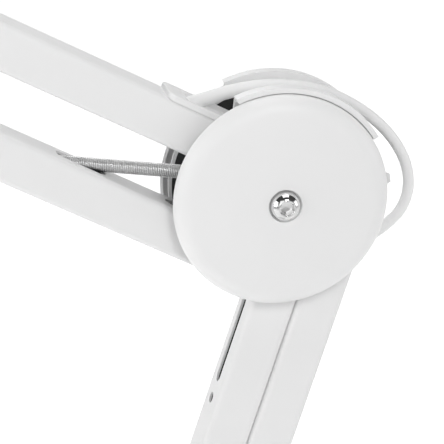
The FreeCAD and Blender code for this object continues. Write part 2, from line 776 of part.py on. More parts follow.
# Head bracket: the elbow's pivots for the upper arm, turned half round, and a tongue below.
tongue_left = "(swivel_x - swivel_block / 2)"
tongue_right = "(swivel_x + swivel_block / 2)"
tongue_foot = "(swivel_block_z - swivel_block / 2)"
head_outline = [
    (tongue_left, f"-sqrt(plate_radius^2 - {tongue_left}^2)"),
    (tongue_left, tongue_foot),
    (tongue_right, tongue_foot),
    (tongue_right, f"-sqrt(plate_radius^2 - {tongue_right}^2)", "plate_radius", -1),
    (*on_circle("plate_radius", "20"), "plate_radius", -1),
    (*on_circle("plate_radius", "130"), "plate_radius", -1),
]
BLOCK_RIVETS = (("swivel_x - 7.6", "swivel_block_z + 6"), ("swivel_x + 7.6", "swivel_block_z + 6"))
head_holes = [
    ("-top_pivot_x", "-top_pivot_z", PIVOT_HOLE),
    ("-bottom_pivot_x", "-bottom_pivot_z", PIVOT_HOLE),
    *((x, z, SPRING_HOLE) for x, z in BLOCK_RIVETS),
    SCREW_HOLE,
]
group("head_plates", [
    slab(f"head_plate_{w}", head_outline, "plate_wall", HEAD + V(0, plate_y(s), 0), head_holes)
    for w, s in SIDES
])
group("head_covers", [cover(f"head_cover_{w}", HEAD, s) for w, s in SIDES])
group("head_cover_screws", [cover_screw(f"head_screw_{w}", HEAD, s) for w, s in SIDES])
spindle("head_spindle", HEAD)
block_rivet_spots = [HEAD + V(mm(x), 0, mm(z)) for x, z in BLOCK_RIVETS]
group("head_pins", [
    rivet("head_pin_top", TOP_TIP, "pin_radius", "pin_head"),
    rivet("head_pin_bottom", BOTTOM_TIP, "pin_radius", "pin_head"),
    *(
        rivet(f"head_rivet_{i}", at, "spring_pin", SPRING_HEAD)
        for i, at in enumerate(block_rivet_spots)
    ),
])
block_centre = SWIVEL + V(0, 0, mm("swivel_block_z"))
head_block = cut(
    "head_swivel_block",
    brick("head_block_blank", "swivel_block", "plate_gap", "swivel_block", block_centre),
    fuse(
        "head_block_bores",
        rod("head_stem_bore", "stem_bore", "swivel_block + 2", block_centre, UP),
        *(
            rod(f"head_rivet_bore_{i}", SPRING_HOLE, "plate_gap + 2", at)
            for i, at in enumerate(block_rivet_spots)
        ),
    ),
)
node("head_swivel_block", head_block)


# ---------------------------------------------------------------- springs and their pins

def across(radius, at):
    """A short pin across one tube."""
    return rod("tube_pin", radius, "tube_side", at)


def anchor(which, along, out):
    """A spring's anchor in a tube, from the sheet's distances along the tube and off its axis."""
    return ELBOW + pivot(which) - along * mm(f"{out[0]}_along") + out[1] * mm(f"{out[0]}_off")


UPPER_ANCHOR = anchor("bottom", UPPER, ("upper_anchor", UPPER_FACE))
LOWER_ANCHOR = anchor("left", LOWER, ("lower_anchor", LOWER_FACE))
LOWER_PULL = (LOWER_ANCHOR - LOWER_SPRING_PIN).normalize()
LOWER_HOOK = LOWER_SPRING_PIN + LOWER_PULL * mm("link_length")
node("upper_spring_anchor", across("spring_pin - 0.01", UPPER_ANCHOR))
node("lower_spring_anchor", across("spring_pin - 0.01", LOWER_ANCHOR))


def tension_spring(name, start, stop, start_lead, stop_lead, linked=False):
    """A close wound tension spring as a plain round bar, with a wire and a ring at each end.
    The rings go round pins, or the first one through the hole of a flat link."""
    way = (stop - start).normalize()
    length = (stop - start).Length
    wire = mm("spring_wire")
    ring = mm("spring_pin") + 2 * wire
    coiled = length - start_lead - stop_lead
    coils = Part.makeCylinder(mm("spring_radius"), coiled, start + way * start_lead, way)
    reach = 2 * ring if linked else ring
    wires = Part.makeCylinder(wire, length - ring - reach, start + way * reach, way)
    first_centre, first_axis = (start + way * ring, way.cross(ACROSS)) if linked else (start, ACROSS)
    rings = [Part.makeTorus(ring, wire, first_centre, first_axis), Part.makeTorus(ring, wire, stop, ACROSS)]
    spring = doc.addObject("Part::Feature", name)
    spring.Shape = coils.fuse([wires, *rings])
    return node(name, spring)


coils_end = mm("coils_end")
tension_spring("upper_spring", UPPER_SPRING_PIN, UPPER_ANCHOR, mm("upper_coils_start"), coils_end)
tension_spring("lower_spring", LOWER_HOOK, LOWER_ANCHOR, coils_end, coils_end, linked=True)


def spring_link():
    """A flat link with a knee, from the elbow's lower spring pin, through the slot, to the lower
    spring's ring. Its own x axis is the line of pull, and its own z axis leads into the tube."""
    body = new_body("lower_spring_link")
    sketch = new_sketch(body, "XZ_Plane")
    half = "link_width / 2"
    neck = f"sqrt(link_eye^2 - ({half})^2)"
    outline(sketch, [
        (neck, f"-{half}"), ("link_knee", f"link_bend - {half}"), ("link_length", f"-{half}", None, -1),
        ("link_length", half), ("link_knee", f"link_bend + {half}"),
        (neck, half, "link_eye", -1), ("-link_eye", "0", "link_eye", -1),
    ])
    circle(sketch, "0", "0", "spring_pin + 0.1")
    circle(sketch, "link_length", "0", "link_hole")
    pad(body, sketch, "link_wall")
    body.Placement = FreeCAD.Placement(LOWER_SPRING_PIN, FreeCAD.Rotation(ALONG, LOWER_PULL))
    node("lower_spring_link", body)


spring_link()


# ---------------------------------------------------------------- leads

LEAD_ROUTE = [  # from the elbow's centre: x, z
    (-69.6, 45.8), (-58.2, 40.5), (-47.4, 40.3), (-34.2, 44.2), (-20.5, 47.8), (-4.8, 49.9), (11.2, 48.9),
    (25.3, 45.0), (38.5, 37.7), (49.8, 28.7), (58.3, 18.5), (63.8, 7.0), (64.9, -4.4), (61.7, -14.1),
    (55.0, -20.8), (46.2, -26.8), (36.5, -33.7), (27.7, -43.5), (22.1, -55.8),
]


def smooth_wire(points):
    """Straight runs joined by tangent arcs, and the arcs' radii."""
    edges, radii = [], []
    here = points[0]
    for before, corner, after in zip(points, points[1:], points[2:]):
        into, out_of = (corner - before), (after - corner)
        shorter = min(into.Length, out_of.Length)
        half_turn = into.getAngle(out_of) / 2
        back = 0.45 * shorter
        first = corner - into.normalize() * back
        last = corner + out_of.normalize() * back
        radius = back / math.tan(half_turn)
        inward = (first + last) * 0.5 - corner
        centre_gap = math.sqrt(radius**2 + back**2)
        middle = corner + inward.normalize() * (centre_gap - radius)
        edges += [Part.LineSegment(here, first).toShape(), Part.Arc(first, middle, last).toShape()]
        radii.append(radius)
        here = last
    edges.append(Part.LineSegment(here, points[-1]).toShape())
    return Part.Wire(edges), radii


def hose(wire, radius):
    """A round section swept along a wire."""
    start = wire.Edges[0].valueAt(wire.Edges[0].FirstParameter)
    way = wire.Edges[0].tangentAt(wire.Edges[0].FirstParameter)
    section = Part.Wire([Part.makeCircle(radius, start, way)])
    return wire.makePipeShell([section], True, False)


lead_points = [ELBOW + V(x, 0, z) for x, z in LEAD_ROUTE]
lead_wire, lead_radii = smooth_wire(lead_points)
lead = doc.addObject("Part::Feature", "elbow_lead")
lead.Shape = hose(lead_wire, mm("lead_radius"))
node("elbow_lead", lead)
print("elbow lead: length", round(lead_wire.Length, 1), "radii", [round(r, 1) for r in lead_radii])
print("  volume", round(lead.Shape.Volume), "section times length",
      round(math.pi * mm("lead_radius") ** 2 * lead_wire.Length))

SLEEVE_FIRST, SLEEVE_LAST = 3, 6
sleeve_wire, _ = smooth_wire(lead_points[SLEEVE_FIRST - 1:SLEEVE_LAST + 2])
sleeve_edges = sleeve_wire.Edges[2:-2]
protection = doc.addObject("Part::Feature", "lead_sleeve")
sleeve_path = Part.Wire(sleeve_edges)
protection.Shape = hose(sleeve_path, mm("sleeve_radius")).cut(hose(sleeve_path, mm("lead_radius + 0.05")))
node("lead_sleeve", protection)


def inner_lead(name, start, way, length):
    """The straight lead inside a tube."""
    half = way * (length / 2)
    return node(name, rod(name, "lead_radius", str(length), start + half, way))


SEAM = 0.6
INNER_LEAD = 320.0
inner_lead("lower_arm_lead", lead_points[-1] - LOWER * SEAM, LOWER * -1, INNER_LEAD)
inner_lead("upper_arm_lead", lead_points[0] - UPPER * SEAM, UPPER * -1, INNER_LEAD)


# ---------------------------------------------------------------- base

ORIGIN = V(0, 0, 0)


def base_turned(name, corners):
    """A piece turned about the swivel axis, with heights above the table."""
    return turned(name, corners, ORIGIN, "XZ_Plane")


def screw_bores(name, low, high):
    return [
        upright(f"{name}_{i}", "base_screw + hole_play", low, high, x, y)
        for i, (x, y) in enumerate(screw_spots)
    ]


ring = mm("base_screws")
third = 2 * math.pi / 3
screw_spots = [(ring * math.cos(turn), ring * math.sin(turn)) for turn in (0, third, 2 * third)]
node("base_foot", base_turned("base_foot", [
    ("0", "0"), ("foot_radius", "0"), ("foot_radius", "foot_rise"), ("0", "foot_rise"),
]))
weight_top = "(foot_rise + weight_rise)"
flange_low = f"({weight_top} - post_flange_rise)"
weight = base_turned("base_weight_disc", [
    ("0", "foot_rise"), ("weight_radius", "foot_rise"), ("weight_radius", f"{weight_top} - weight_edge"),
    ("weight_radius - weight_edge", weight_top), ("post_flange + 0.2", weight_top),
    ("post_flange + 0.2", flange_low), ("0", flange_low),
])
inlet_cut_at = V(mm("weight_radius - inlet_notch / 2"), 0, mm("foot_rise + weight_rise / 2"))
weight_tools = fuse(
    "base_weight_bores",
    brick("inlet_cut", "2 * inlet_notch", "inlet_notch", "weight_rise + 2", inlet_cut_at),
    *screw_bores("weight_bore", "foot_rise", weight_top),
)
node("base_weight", cut("base_weight", weight, weight_tools))
edge_top = "(base_top - base_fall)"
edge_low = f"({edge_top} - base_shoulder)"
cover_shell = base_turned("base_cover_shell", [
    ("base_radius", "base_lip"), ("base_radius", edge_low, "base_shoulder", -1),
    ("base_radius - base_shoulder", edge_top),
    ("base_hole", "base_top"), ("base_hole", "base_top - base_wall"),
    ("base_radius - base_shoulder", f"{edge_top} - base_wall", "base_shoulder - base_wall", 1),
    ("base_radius - base_wall", edge_low), ("base_radius - base_wall", "base_lip"),
])
INLET = V(mm("base_radius + inlet_proud"), 0, mm("inlet_height"))
inlet_hole = rod("inlet_hole", "inlet_radius + hole_play", "2 * base_shoulder", INLET, ALONG)
node("base_cover", cut("base_cover", cover_shell, inlet_hole))
post = base_turned("swivel_post_blank", [
    ("0", flange_low), ("post_flange", flange_low),
    ("post_flange", weight_top), ("post_radius", weight_top),
    ("post_radius", "post_top - 1"), ("post_radius - 1", "post_top"), ("0", "post_top"),
])
post_bores = fuse("swivel_post_bores", *screw_bores("post_bore", f"{flange_low} - 1", f"{weight_top} + 1"))
node("swivel_post", cut("swivel_post", post, post_bores))
screw_low, screw_high = f"{weight_top} - base_screw_grip", f"{weight_top} + base_screw_rise"
group("base_screws", [
    fuse(
        f"base_screw_{i}",
        upright(f"base_screw_shank_{i}", "base_screw", screw_low, weight_top, x, y),
        upright(f"base_screw_head_{i}", "base_screw_head", weight_top, screw_high, x, y),
    )
    for i, (x, y) in enumerate(screw_spots)
])
barrel_at = INLET - ALONG * mm("inlet_length / 2")
inlet_barrel = rod("inlet_barrel", "inlet_radius", "inlet_length", barrel_at, ALONG)
inlet_bore = rod("inlet_bore", "inlet_bore", "2 * inlet_depth", INLET, ALONG)
inlet_pin = rod("inlet_pin", "inlet_pin", "inlet_depth", INLET - ALONG * mm("inlet_depth / 2 + 1"), ALONG)
node("power_inlet", fuse("power_inlet", cut("inlet_socket", inlet_barrel, inlet_bore), inlet_pin))
washer_low = "(base_top + washer_play)"
washer_height = f"(block_bottom - {washer_low} - 2 * washer_play)"
washer_at = V(0, 0, mm(f"{washer_low} + {washer_height} / 2"))
node("thrust_washer", sleeve("thrust_washer", "washer_radius", "swivel_bore", washer_height, washer_at, UP))


# ---------------------------------------------------------------- head

stem_low = "(swivel_block_z - swivel_block / 2 - stem_play)"
stem_length = "(swivel_block + 2 * stem_play + 2.4)"
stem_at = SWIVEL + V(0, 0, mm(f"{stem_low} + {stem_length} / 2"))
stem_top = V(0, 0, mm(f"{stem_length} / 2"))
neck_height = f"({stem_low} - tilt_z)"
neck_at = TILT + V(0, 0, mm(f"{neck_height} / 2"))
knuckle_blank = fuse(
    "knuckle_blank",
    rod("knuckle_stem", "stem_radius", stem_length, stem_at, UP),
    rod("knuckle_cap", "stem_cap", "stem_cap_rise", stem_at + stem_top, UP),
    brick("knuckle_neck", "2 * knuckle_radius", "knuckle_width", neck_height, neck_at),
    rod("knuckle_round", "knuckle_radius", "knuckle_width", TILT),
)
knuckle_bore = rod("knuckle_bore", "tilt_bore", "2 * knuckle_width", TILT)
node("head_knuckle", cut("head_knuckle", knuckle_blank, knuckle_bore))

foot_top = "(fork_base - fork_drop)"
ear_corners = [
    ("-knuckle_radius", "0"), ("-knuckle_radius - ear_spread", foot_top),
    ("knuckle_radius + ear_spread", foot_top), ("knuckle_radius", "0", None, -1),
]
ear_y = mm("(ear_gap + ear_wall) / 2")
ear_holes = [("0", "0", "tilt_pin + hole_play")]
ears = [
    slab(f"fork_ear_{w}", ear_corners, "ear_wall", TILT + V(0, s * ear_y, 0), ear_holes)
    for w, s in SIDES
]
fork_foot_at = TILT + V(mm("fork_shift"), 0, mm("fork_base / 2 - fork_drop"))
fork_foot = brick("fork_foot", "fork_length", "ear_gap + 2 * ear_wall", "fork_base", fork_foot_at)
node("head_fork", fuse("head_fork", *ears, fork_foot))
pin_half = "(ear_gap / 2 + ear_wall)"
pin_tip = f"({pin_half} + tilt_head_rise)"
node("tilt_pin", turned("tilt_pin", [
    ("0", f"-{pin_tip}"), ("tilt_head", f"-{pin_tip}"), ("tilt_head", f"-{pin_half}"),
    ("tilt_pin", f"-{pin_half}"), ("tilt_pin", pin_half), ("tilt_head", pin_half),
    ("tilt_head", pin_tip), ("0", pin_tip),
], TILT))


def head_turned(name, corners, at=LAMP):
    """A round piece of the head, with heights from the head's top."""
    return turned(name, corners, at, "XZ_Plane")


def disc(name, radius, drop, wall):
    low = f"-({drop} + {wall})"
    corners = [("0", low), (radius, low), (radius, f"-{drop}"), ("0", f"-{drop}")]
    return node(name, head_turned(name, corners))


BUTTON = LAMP + V(mm("button_offset"), 0, 0)
shoulder_low = "-(head_radius - head_flat)"
shell_blank = head_turned("head_shell_blank", [
    ("0", "0"), ("head_flat", "0", "head_shoulder", 1), ("head_radius", shoulder_low),
    ("head_radius", "-head_depth"), ("head_radius - head_wall", "-head_depth"),
    ("head_radius - head_wall", shoulder_low, "head_shoulder - head_wall", -1),
    ("head_flat", "-head_wall"), ("0", "-head_wall"),
])
button_hole = rod("button_hole", "button_radius + button_play", "4 * head_wall", BUTTON, UP)
node("head_shell", cut("head_shell", shell_blank, button_hole))
disc("heat_spreader", "spreader_radius", "spreader_drop", "spreader_wall")
disc("led_board", "board_radius", "board_drop", "board_wall")
disc("diffuser", "diffuser_radius", "diffuser_drop", "diffuser_wall")
leds = []
for ring_radius, count in (("led_inner_ring", 6), ("led_outer_ring", 12)):
    for i in range(count):
        turn = 2 * math.pi * i / count
        spot = LAMP + V(math.cos(turn), math.sin(turn), 0) * mm(ring_radius) - UP * mm("led_drop")
        leds.append(brick(f"led_{len(leds)}", "led_side", "led_side", "led_rise", spot))
group("leds", leds)
driver_at = LAMP + V(mm("driver_x"), 0, -mm("driver_drop"))
node("led_driver", brick("led_driver", "driver_length", "driver_width", "driver_rise", driver_at))
bezel_out = "(head_radius - head_wall - bezel_play)"
bezel_in = "(diffuser_radius - bezel_lap)"
rebate = ("(diffuser_radius + bezel_play)", "-(diffuser_drop + diffuser_wall + bezel_play)")
node("head_bezel", head_turned("head_bezel", [
    (bezel_in, "-bezel_drop"), (bezel_out, "-bezel_drop"), (bezel_out, "-diffuser_drop"),
    (rebate[0], "-diffuser_drop"), rebate, (bezel_in, rebate[1]),
]))
flange = "(button_radius + button_flange)"
flange_top = "(button_flange - button_depth)"
node("switch_button", head_turned("switch_button", [
    ("0", "-button_depth"), (flange, "-button_depth"), (flange, flange_top), ("button_radius", flange_top),
    ("button_radius", "button_rise - button_edge", "button_edge + 0.1", 1),
    ("button_radius - button_edge", "button_rise"), ("0", "button_rise"),
], BUTTON))
switch_at = BUTTON - UP * mm("switch_drop")
node("switch_body", brick("switch_body", "switch_side", "switch_side", "switch_rise", switch_at))


# ---------------------------------------------------------------- checks and export

doc.recompute()
for thing in doc.Objects:
    if "Invalid" in thing.State or "Error" in thing.State:
        raise RuntimeError(f"{thing.Label} failed: {thing.State}")
for name, thing in nodes.items():
    shape = thing.Shape
    if shape.isNull() or not shape.isValid() or not shape.Solids:
        raise RuntimeError(f"{name} has no valid solid")
for name, thing in nodes.items():
    thing.Shape.exportStep(os.path.join(NODE_FOLDER, name + ".step"))
places = {"shoulder": SHOULDER, "elbow": ELBOW, "head bracket": HEAD, "tilt": TILT, "lamp": LAMP}
for word, point in places.items():
    print(word, [round(c, 3) for c in point])
print(len(nodes), "nodes")
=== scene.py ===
import json
import math

import bmesh
import bpy
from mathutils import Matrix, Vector


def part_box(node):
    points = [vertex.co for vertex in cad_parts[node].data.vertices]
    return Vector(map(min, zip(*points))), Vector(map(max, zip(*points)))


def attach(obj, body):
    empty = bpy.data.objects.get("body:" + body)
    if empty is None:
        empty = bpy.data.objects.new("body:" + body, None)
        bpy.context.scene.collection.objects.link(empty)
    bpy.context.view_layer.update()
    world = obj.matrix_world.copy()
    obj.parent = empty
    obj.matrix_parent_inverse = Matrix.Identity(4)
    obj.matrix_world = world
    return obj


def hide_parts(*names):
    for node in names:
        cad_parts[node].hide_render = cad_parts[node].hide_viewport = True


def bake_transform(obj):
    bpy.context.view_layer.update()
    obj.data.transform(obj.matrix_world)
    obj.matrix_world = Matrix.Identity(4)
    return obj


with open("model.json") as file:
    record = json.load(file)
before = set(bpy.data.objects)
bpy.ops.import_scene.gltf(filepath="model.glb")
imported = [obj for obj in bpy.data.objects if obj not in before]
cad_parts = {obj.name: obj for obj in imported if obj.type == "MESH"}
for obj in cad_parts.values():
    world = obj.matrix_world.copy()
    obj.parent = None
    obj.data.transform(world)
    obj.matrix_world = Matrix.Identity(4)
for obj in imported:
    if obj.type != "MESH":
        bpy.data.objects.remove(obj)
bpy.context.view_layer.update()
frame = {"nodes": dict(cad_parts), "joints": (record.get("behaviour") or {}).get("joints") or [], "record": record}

MM = 0.001
X, Y, Z = Vector((1, 0, 0)), Vector((0, 1, 0)), Vector((0, 0, 1))


# ---------------------------------------------------------------- places, from the frame

def middle(node):
    low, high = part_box(node)
    return (low + high) / 2


def joint_place(name):
    return next(Vector(j["pos_m"]) for j in frame["joints"] if j["name"] == name)


ELBOW = middle("elbow_spindle")
SHOULDER = middle("shoulder_spindle")
HEAD = middle("head_spindle")
CENTRES = {"elbow": ELBOW, "shoulder": SHOULDER, "head": HEAD}
# Along the arms: UPPER from the head to the elbow, LOWER from the shoulder to the elbow.
UPPER = (joint_place("upper_arm_lift") - joint_place("head_level")).normalized()
LOWER = (joint_place("elbow_level") - joint_place("lower_arm_lean")).normalized()
UPPER_FACE = Y.cross(UPPER) * -1  # out of the upper tubes' top faces
LOWER_FACE = Y.cross(LOWER) * -1  # out of the lower tubes' left faces
COVER_RIM = 16.5 * MM  # from the middle plane to a cover's rim
PLATE_GAP = 22.0 * MM
PLATE_RADIUS = 45.4 * MM
TUBE_SIDE = 21.3 * MM
TUBE_WALL = 1.15 * MM


def near_elbow(x, z):
    """A place given in millimetres from the elbow's centre, in the lamp's middle plane."""
    return ELBOW + Vector((x, 0, z)) * MM


# ---------------------------------------------------------------- materials

def add_node(material, kind, **inputs):
    """A shader node with its inputs set by name. A socket as the value is linked."""
    tree = material.node_tree
    made = tree.nodes.new(kind)
    for name, value in inputs.items():
        socket = made.inputs[name.replace("_", " ")]
        if isinstance(value, bpy.types.NodeSocket):
            tree.links.new(value, socket)
        else:
            socket.default_value = value
    return made


def noise(material, scale, detail=2.0, stretch=(1, 1, 1)):
    """Noise from 0 to 1 with that many cells per metre, fixed to the object."""
    where = add_node(material, "ShaderNodeTexCoord").outputs["Object"]
    if tuple(stretch) != (1, 1, 1):
        where = add_node(material, "ShaderNodeMapping", Vector=where, Scale=stretch).outputs["Vector"]
    made = add_node(material, "ShaderNodeTexNoise", Vector=where, Scale=scale, Detail=detail)
    return made.outputs["Fac"]


def spread(material, value, low, high):
    """Maps the useful middle of a noise, 0.3 to 0.7, to low..high."""
    made = add_node(material, "ShaderNodeMapRange", Value=value)
    made.inputs["From Min"].default_value = 0.3
    made.inputs["From Max"].default_value = 0.7
    made.inputs["To Min"].default_value = low
    made.inputs["To Max"].default_value = high
    return made.outputs["Result"]


def mix(material, factor, first, second):
    """A colour between two, each a tuple or a socket."""
    made = material.node_tree.nodes.new("ShaderNodeMix")
    made.data_type = "RGBA"
    sockets = {s.name: s for s in made.inputs if s.type == "RGBA"}
    for name, value in (("A", first), ("B", second)):
        if isinstance(value, bpy.types.NodeSocket):
            material.node_tree.links.new(value, sockets[name])
        else:
            sockets[name].default_value = (*value, 1)
    factor_socket = next(s for s in made.inputs if s.name == "Factor" and s.type == "VALUE")
    material.node_tree.links.new(factor, factor_socket)
    return next(s for s in made.outputs if s.type == "RGBA")


def grey(value, warmth=0.0):
    """A grey, with that share more red and less blue."""
    return (value * (1 + warmth), value, value * (1 - warmth))


def position(material, centre):
    """Object coordinates from a centre."""
    where = add_node(material, "ShaderNodeTexCoord").outputs["Object"]
    made = add_node(material, "ShaderNodeVectorMath")
    made.operation = "SUBTRACT"
    material.node_tree.links.new(where, made.inputs[0])
    made.inputs[1].default_value = centre
    return made.outputs["Vector"]


def reach(material, place, direction):
    """How far a position is along a direction, either way."""
    along = add_node(material, "ShaderNodeVectorMath")
    along.operation = "DOT_PRODUCT"
    material.node_tree.links.new(place, along.inputs[0])
    along.inputs[1].default_value = direction
    return maths(material, "ABSOLUTE", along.outputs["Value"])


def maths(material, operation, *values):
    """The result of one sum on numbers or sockets."""
    made = add_node(material, "ShaderNodeMath")
    made.operation = operation
    for socket, value in zip(made.inputs, values):
        if isinstance(value, bpy.types.NodeSocket):
            material.node_tree.links.new(value, socket)
        else:
            socket.default_value = value
    return made.outputs["Value"]


def darken(material, mask, colour, rough):
    """Where the mask is 1, another colour and roughness take over."""
    shader = material.node_tree.nodes["Principled BSDF"]
    links = material.node_tree.links
    base = shader.inputs["Base Color"].links[0].from_socket
    links.new(mix(material, mask, base, colour), shader.inputs["Base Color"])
    was = shader.inputs["Roughness"].links[0].from_socket
    both = add_node(material, "ShaderNodeMix", A=was, B=rough)
    links.new(mask, both.inputs["Factor"])
    links.new(both.outputs["Result"], shader.inputs["Roughness"])
    return material


def painted_shade_in_tube(material, pivot, face):
    """A powder-coated tube whose inside is painted near-black and rough: painted shade for the tube's hollow."""
    place = position(material, pivot)
    off_axis = maths(material, "MAXIMUM", reach(material, place, face), reach(material, place, Y))
    mask = maths(material, "LESS_THAN", off_axis, TUBE_SIDE / 2 - TUBE_WALL)
    return darken(material, mask, grey(0.03), 0.7)


def painted_shade_between_plates(material, centre):
    """A plate whose inner faces, inside its radius, are painted near-black: painted shade for the space between
    the plates.
    """
    place = position(material, centre)
    east, north = reach(material, place, X), reach(material, place, Z)
    radius = maths(material, "SQRT", maths(
        material, "ADD", maths(material, "POWER", east, 2.0), maths(material, "POWER", north, 2.0)))
    depth = reach(material, place, Y)
    plate_shade_mask = maths(material, "MULTIPLY",
                   maths(material, "LESS_THAN", radius, PLATE_RADIUS),
                   maths(material, "LESS_THAN", depth, PLATE_GAP / 2 + 0.05 * MM))
    return darken(material, plate_shade_mask, grey(0.045), 0.8)


def finish(name, light, dark, rough, grain, depth, patch=25.0, stretch=(1, 1, 1), **settings):
    """A surface: two colours in soft patches, a range of roughness, and a fine grain in relief."""
    material = bpy.data.materials.new(name)
    material.use_nodes = True
    shader = material.node_tree.nodes["Principled BSDF"]
    links = material.node_tree.links
    blotch = noise(material, patch)
    fine = noise(material, grain, 3.0, stretch)
    colour = mix(material, spread(material, blotch, 0.0, 1.0), dark, light)
    links.new(colour, shader.inputs["Base Color"])
    links.new(spread(material, fine, *rough), shader.inputs["Roughness"])
    bump = add_node(material, "ShaderNodeBump", Height=fine, Strength=1.0, Distance=depth)
    links.new(bump.outputs["Normal"], shader.inputs["Normal"])
    for socket, value in settings.items():
        shader.inputs[socket.replace("_", " ")].default_value = value
    return material


def powder_coat(name):
    return finish(name, grey(0.86), grey(0.845), (0.40, 0.50), 1100.0, 6e-6)


MATERIALS = {  # finish's values: light and dark colour, roughness, grains per metre, relief in metres
    "white_paint": powder_coat("white_paint"),
    "cover_white": finish(
        "cover_white", grey(0.86), grey(0.852), (0.40, 0.46), 1500.0, 2e-6),
    # the covers' insides are a darker grey: painted shade, to deepen the narrow gap round each cover's rim
    "cover_inside": finish(
        "cover_inside", grey(0.78), grey(0.74), (0.5, 0.6), 1500.0, 4e-6),
    "zinc_steel": finish(
        "zinc_steel", (0.66, 0.67, 0.68), (0.54, 0.55, 0.57), (0.28, 0.5), 900.0, 4e-6,
        patch=220.0, Metallic=1.0),
    "screw_chrome": finish(
        "screw_chrome", grey(0.80), grey(0.74), (0.06, 0.14), 2500.0, 1e-6,
        patch=400.0, Metallic=1.0),
    "spring_steel": finish(
        "spring_steel", grey(0.80), grey(0.70), (0.30, 0.42), 3000.0, 3e-6,
        patch=300.0, Metallic=1.0),
    "nylon": finish(
        "nylon", grey(0.82, 0.02), grey(0.76, 0.03), (0.4, 0.55), 1500.0, 6e-6),
    "white_plastic": finish(
        "white_plastic", grey(0.86), grey(0.84), (0.42, 0.52), 2000.0, 8e-6, patch=120.0),
    "lead_pvc": finish(
        "lead_pvc", grey(0.87), grey(0.85), (0.38, 0.48), 1800.0, 6e-6, patch=150.0),
    "black_rubber": finish(
        "black_rubber", grey(0.035), grey(0.02), (0.7, 0.9), 1300.0, 4e-5, patch=80.0),
    "black_plastic": finish(
        "black_plastic", grey(0.03), grey(0.02), (0.35, 0.55), 1800.0, 1e-5, patch=80.0),
    "weight_iron": finish(
        "weight_iron", grey(0.11), grey(0.05), (0.6, 0.85), 600.0, 2e-4,
        patch=90.0, Metallic=0.6),
    "aluminium_plate": finish(
        "aluminium_plate", grey(0.78), grey(0.68), (0.3, 0.5), 2600.0, 6e-6,
        stretch=(1, 0.04, 1), Metallic=1.0),
    "head_aluminium": finish(
        "head_aluminium", grey(0.86), grey(0.85), (0.38, 0.46), 1300.0, 4e-6),
    "board_white": finish(
        "board_white", grey(0.84), grey(0.80), (0.25, 0.35), 900.0, 3e-6, patch=200.0),
    "led_phosphor": finish(
        "led_phosphor", (0.95, 0.78, 0.22), (0.85, 0.62, 0.12), (0.3, 0.4), 3500.0, 1e-5,
        patch=900.0),
    "opal": finish(
        "opal", grey(0.90), grey(0.88), (0.45, 0.55), 2200.0, 5e-6),
}


TUBES = {  # the joint on each tube's axis, and the way out of its top face
    "upper_bar_top": ("upper_arm_lift", UPPER_FACE),
    "upper_bar_bottom": ("upper_bottom_lift", UPPER_FACE),
    "lower_bar_left": ("lower_left_lean", LOWER_FACE),
    "lower_bar_right": ("elbow_level", LOWER_FACE),
}
PLATES = {  # the middle of each pair of plates
    "elbow_plate_front": ELBOW, "elbow_plate_back": ELBOW,
    "shoulder_plates": SHOULDER, "head_plates": HEAD,
}


def paint_cad_nodes():
    """Gives every CAD node the material of its slot, with painted shade on the insides of tubes and plates."""
    slots = {part["node"]: part["material_slot"] for part in frame["record"]["subparts"]}
    for name, thing in frame["nodes"].items():
        material = MATERIALS[slots[name]]
        if name in TUBES:
            joint, face = TUBES[name]
            material = painted_shade_in_tube(powder_coat(name + "_paint"), joint_place(joint), face)
        if name in PLATES:
            material = painted_shade_between_plates(powder_coat(name + "_paint"), PLATES[name])
        thing.data.materials.clear()
        thing.data.materials.append(material)


# ---------------------------------------------------------------- mesh tools

class Shape:
    """Points and faces gathered for one mesh."""

    def __init__(self):
        self.points, self.faces, self.slots = [], [], []

    def skin(self, rows, wrap=True, loop=False, caps=(False, False), slot=0):
        """Joins rows of equally many points.

        wrap closes each row, and loop joins the last row to the first. slot is a material's
        number, or gives one for a row."""
        first, across = len(self.points), len(rows[0])
        for row in rows:
            self.points.extend(row)
        pairs = [(i, i + 1) for i in range(len(rows) - 1)]
        if loop:
            pairs.append((len(rows) - 1, 0))
        steps = across if wrap else across - 1
        for low, high in pairs:
            for k in range(steps):
                after = (k + 1) % across
                self.faces.append((
                    first + low * across + k, first + low * across + after,
                    first + high * across + after, first + high * across + k))
                self.slots.append(slot(low) if callable(slot) else slot)
        for wanted, row in zip(caps, (0, len(rows) - 1)):
            if wanted:
                self.faces.append(tuple(first + row * across + k for k in range(across)))
                self.slots.append(0)
        return self

    def piece(self, name, *materials, crease=35.0):
        """The object, with edges sharper than crease degrees left sharp."""
        mesh = bpy.data.meshes.new(name)
        mesh.from_pydata([tuple(p) for p in self.points], [], self.faces)
        mesh.polygons.foreach_set("material_index", self.slots)
        for material in materials:
            mesh.materials.append(MATERIALS[material])
        outward = bmesh.new()
        outward.from_mesh(mesh)
        bmesh.ops.remove_doubles(outward, verts=outward.verts, dist=1e-7)
        bmesh.ops.recalc_face_normals(outward, faces=outward.faces)
        outward.to_mesh(mesh)
        outward.free()
        mesh.shade_smooth()
        mesh.set_sharp_from_angle(angle=math.radians(crease))
        made = bpy.data.objects.new(name, mesh)
        bpy.context.scene.collection.objects.link(made)
        return made


def arc(start, stop, radius, bulge, steps=12):
    """Points from start to stop, without the last, round an arc that bulges to one side."""
    a, b = Vector(start), Vector(stop)
    half = (b - a).length / 2
    way = (b - a).normalized()
    side = Vector((-way.y, way.x))
    centre = (a + b) / 2 - side * bulge * math.sqrt(radius**2 - half**2)
    first = math.atan2(a.y - centre.y, a.x - centre.x)
    last = math.atan2(b.y - centre.y, b.x - centre.x)
    turn = (last - first + math.pi) % (2 * math.pi) - math.pi
    return [
        (centre.x + radius * math.cos(first + turn * i / steps),
         centre.y + radius * math.sin(first + turn * i / steps))
        for i in range(steps)
    ]


